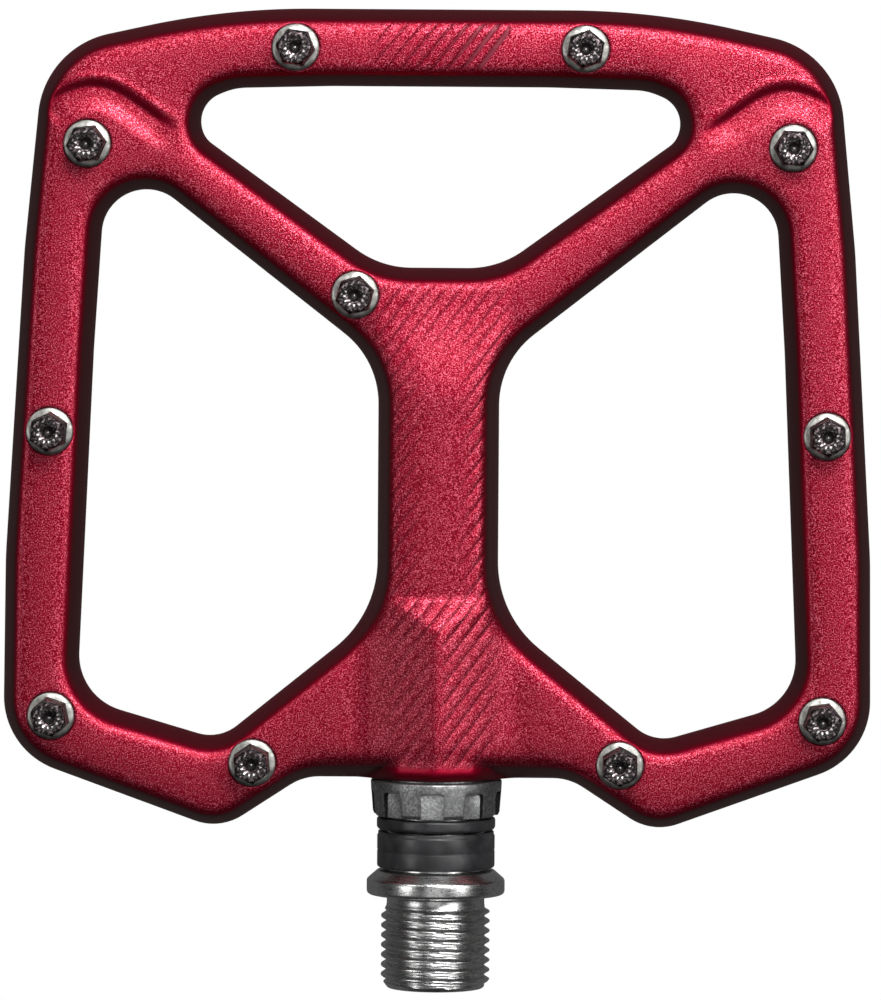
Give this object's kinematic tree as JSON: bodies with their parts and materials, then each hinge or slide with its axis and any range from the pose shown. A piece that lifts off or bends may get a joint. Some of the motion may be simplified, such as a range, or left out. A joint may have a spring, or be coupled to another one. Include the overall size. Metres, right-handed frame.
{
  "type": "flat pedal",
  "caption": "Right-hand flat bicycle pedal: windowed red alloy platform with grip pins on both faces, turning on a threaded steel spindle with sealed bearings.",
  "frame": {"origin": "on the spindle axis, in the plane of the spindle flange's face that seats on the crank arm", "axes": "+Y outboard along the spindle away from the crank arm, +Z out of the upper tread face, +X to the right of someone looking down on that face with the thread towards them"},
  "size_m": [0.1122, 0.1266, 0.0208],
  "materials": {
    "red_anodised": "shot-peened, red anodised",
    "machined_steel": "turned, bright",
    "blackened_steel": "black oxide, worn on the flange",
    "blasted_alloy": "bead-blasted grey",
    "black_rubber": "satin",
    "bush_polymer": "matte",
    "bearing_steel": "ground and polished"
  },
  "bodies": {
    "spindle_group": {"spindle": "machined_steel", "dust_sleeve": "black_rubber", "inner_race": "bearing_steel", "lock_washer": "machined_steel", "spindle_locknut": "machined_steel"},
    "platform": {"platform_body": "red_anodised", "pin_upper_01": "blackened_steel", "pin_upper_02": "blackened_steel", "pin_upper_03": "blackened_steel", "pin_upper_04": "blackened_steel", "pin_upper_05": "blackened_steel", "pin_upper_06": "blackened_steel", "pin_upper_07": "blackened_steel", "pin_upper_08": "blackened_steel", "pin_upper_09": "blackened_steel", "pin_upper_10": "blackened_steel", "pin_upper_11": "blackened_steel", "pin_lower_01": "blackened_steel", "pin_lower_02": "blackened_steel", "pin_lower_03": "blackened_steel", "pin_lower_04": "blackened_steel", "pin_lower_05": "blackened_steel", "pin_lower_06": "blackened_steel", "pin_lower_07": "blackened_steel", "pin_lower_08": "blackened_steel", "pin_lower_09": "blackened_steel", "pin_lower_10": "blackened_steel", "pin_lower_11": "blackened_steel", "lock_collar": "blasted_alloy", "lip_seal": "black_rubber", "inboard_bush": "bush_polymer", "spacer_sleeve": "machined_steel", "outer_race": "bearing_steel", "bearing_shield_outboard": "black_rubber", "bearing_shield_inboard": "black_rubber"},
    "ball_set": {"ball_cage": "bush_polymer", "bearing_ball_1": "bearing_steel", "bearing_ball_2": "bearing_steel", "bearing_ball_3": "bearing_steel", "bearing_ball_4": "bearing_steel", "bearing_ball_5": "bearing_steel", "bearing_ball_6": "bearing_steel", "bearing_ball_7": "bearing_steel"}
  },
  "joints": [
    {"name": "platform_spin", "type": "hinge", "parent": "spindle_group", "child": "platform", "pos_m": [0, 0, 0], "axis": [0, 1, 0], "continuous": true},
    {"name": "ball_set_orbit", "type": "hinge", "parent": "spindle_group", "child": "ball_set", "pos_m": [0, 0.0625, 0], "axis": [0, 1, 0], "continuous": true}
  ],
  "couplings": [
    {"joint": "ball_set_orbit", "follows": "platform_spin", "ratio": 0.594}
  ]
}
